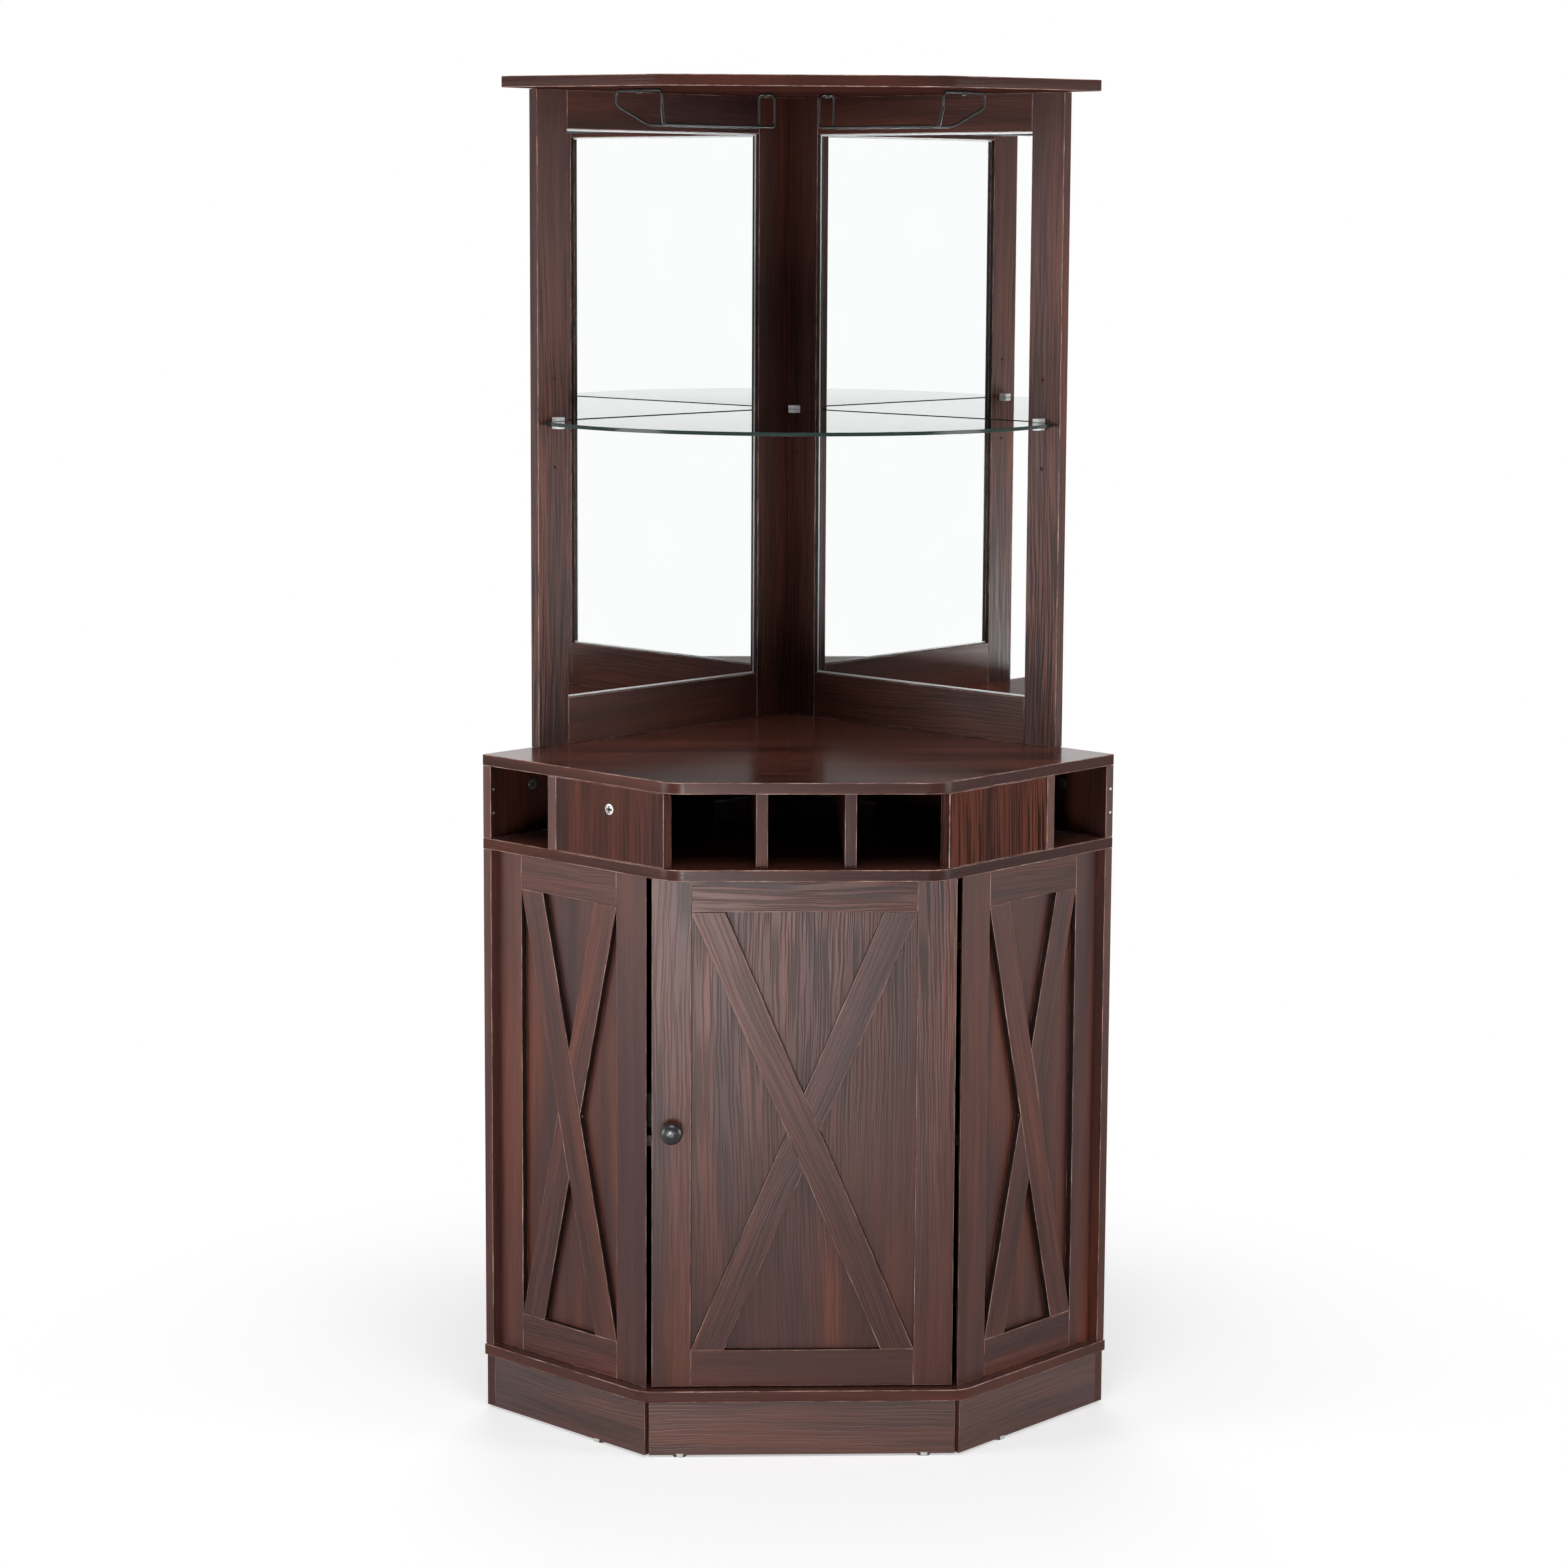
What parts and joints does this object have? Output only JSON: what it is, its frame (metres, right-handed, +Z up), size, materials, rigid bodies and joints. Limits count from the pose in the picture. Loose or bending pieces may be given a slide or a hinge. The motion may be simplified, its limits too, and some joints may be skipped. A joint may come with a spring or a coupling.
{
  "type": "corner bar cabinet",
  "caption": "Five-sided corner bar cabinet: hinged door below, bottle cubbies under a counter, and a mirrored hutch with a bowed glass shelf and stemware racks.",
  "frame": {"origin": "on the floor, under the centre of the cabinet's bounding box", "axes": "+Z up, the front and its door face -Y, the room's corner lies behind at +Y, +X to the right as seen from the front"},
  "size_m": [0.8514, 0.674, 1.8],
  "materials": {
    "espresso_laminate": "dark espresso wood-grain laminate with a soft sheen",
    "backing_board": "raw hardboard",
    "black_knob": "satin black",
    "black_wire": "satin black over steel wire",
    "hinge_steel": "nickel-plated pressed steel",
    "catch_plastic": "matte black",
    "mirror_glass": "silvered glass",
    "clear_glass": "clear tempered glass, ground edge",
    "clear_plastic": "clear moulded clip"
  },
  "bodies": {
    "carcass": {"base_board": "espresso_laminate", "plinth_front": "espresso_laminate", "plinth_left": "espresso_laminate", "plinth_right": "espresso_laminate", "plinth_wall_left": "espresso_laminate", "plinth_wall_right": "espresso_laminate", "lower_wall_left": "espresso_laminate", "lower_wall_right": "espresso_laminate", "inner_shelf": "espresso_laminate", "side_left_panel": "espresso_laminate", "side_left_frame": "espresso_laminate", "side_left_brace_long": "espresso_laminate", "side_left_brace_cross": "espresso_laminate", "side_right_panel": "espresso_laminate", "side_right_frame": "espresso_laminate", "side_right_brace_long": "espresso_laminate", "side_right_brace_cross": "espresso_laminate", "hinge_arm_upper": "hinge_steel", "hinge_arm_lower": "hinge_steel", "hinge_plate_upper": "hinge_steel", "hinge_plate_lower": "hinge_steel", "magnetic_catch": "catch_plastic", "shelf_board": "espresso_laminate", "cubby_wall_left": "espresso_laminate", "cubby_wall_right": "espresso_laminate", "cubby_divider_left": "espresso_laminate", "cubby_divider_right": "espresso_laminate", "cubby_filler_left": "espresso_laminate", "cubby_filler_right": "espresso_laminate", "front_divider_left": "espresso_laminate", "front_divider_right": "espresso_laminate", "filler_cam_lock": "hinge_steel", "counter_top": "espresso_laminate", "hutch_left_outer_post": "espresso_laminate", "hutch_left_inner_post": "espresso_laminate", "hutch_left_bottom_rail": "espresso_laminate", "hutch_left_top_rail": "espresso_laminate", "hutch_right_outer_post": "espresso_laminate", "hutch_right_inner_post": "espresso_laminate", "hutch_right_bottom_rail": "espresso_laminate", "hutch_right_top_rail": "espresso_laminate", "mirror_left": "mirror_glass", "mirror_right": "mirror_glass", "mirror_backing_left": "backing_board", "mirror_backing_right": "backing_board", "glass_shelf": "clear_glass", "shelf_support_left": "clear_plastic", "shelf_support_right": "clear_plastic", "shelf_support_corner": "clear_plastic", "glass_rack_left": "black_wire", "glass_rack_right": "black_wire", "top_board": "espresso_laminate"},
    "door": {"door_panel": "espresso_laminate", "door_frame": "espresso_laminate", "door_brace_long": "espresso_laminate", "door_brace_cross": "espresso_laminate", "knob": "black_knob", "hinge_cup_upper": "hinge_steel", "hinge_cup_lower": "hinge_steel", "strike_plate": "hinge_steel"}
  },
  "joints": [
    {"name": "door_hinge", "type": "hinge", "parent": "carcass", "child": "door", "pos_m": [0.188, -0.27643, 0.433], "axis": [0, 0, 1], "range_deg": [0, 95]}
  ]
}
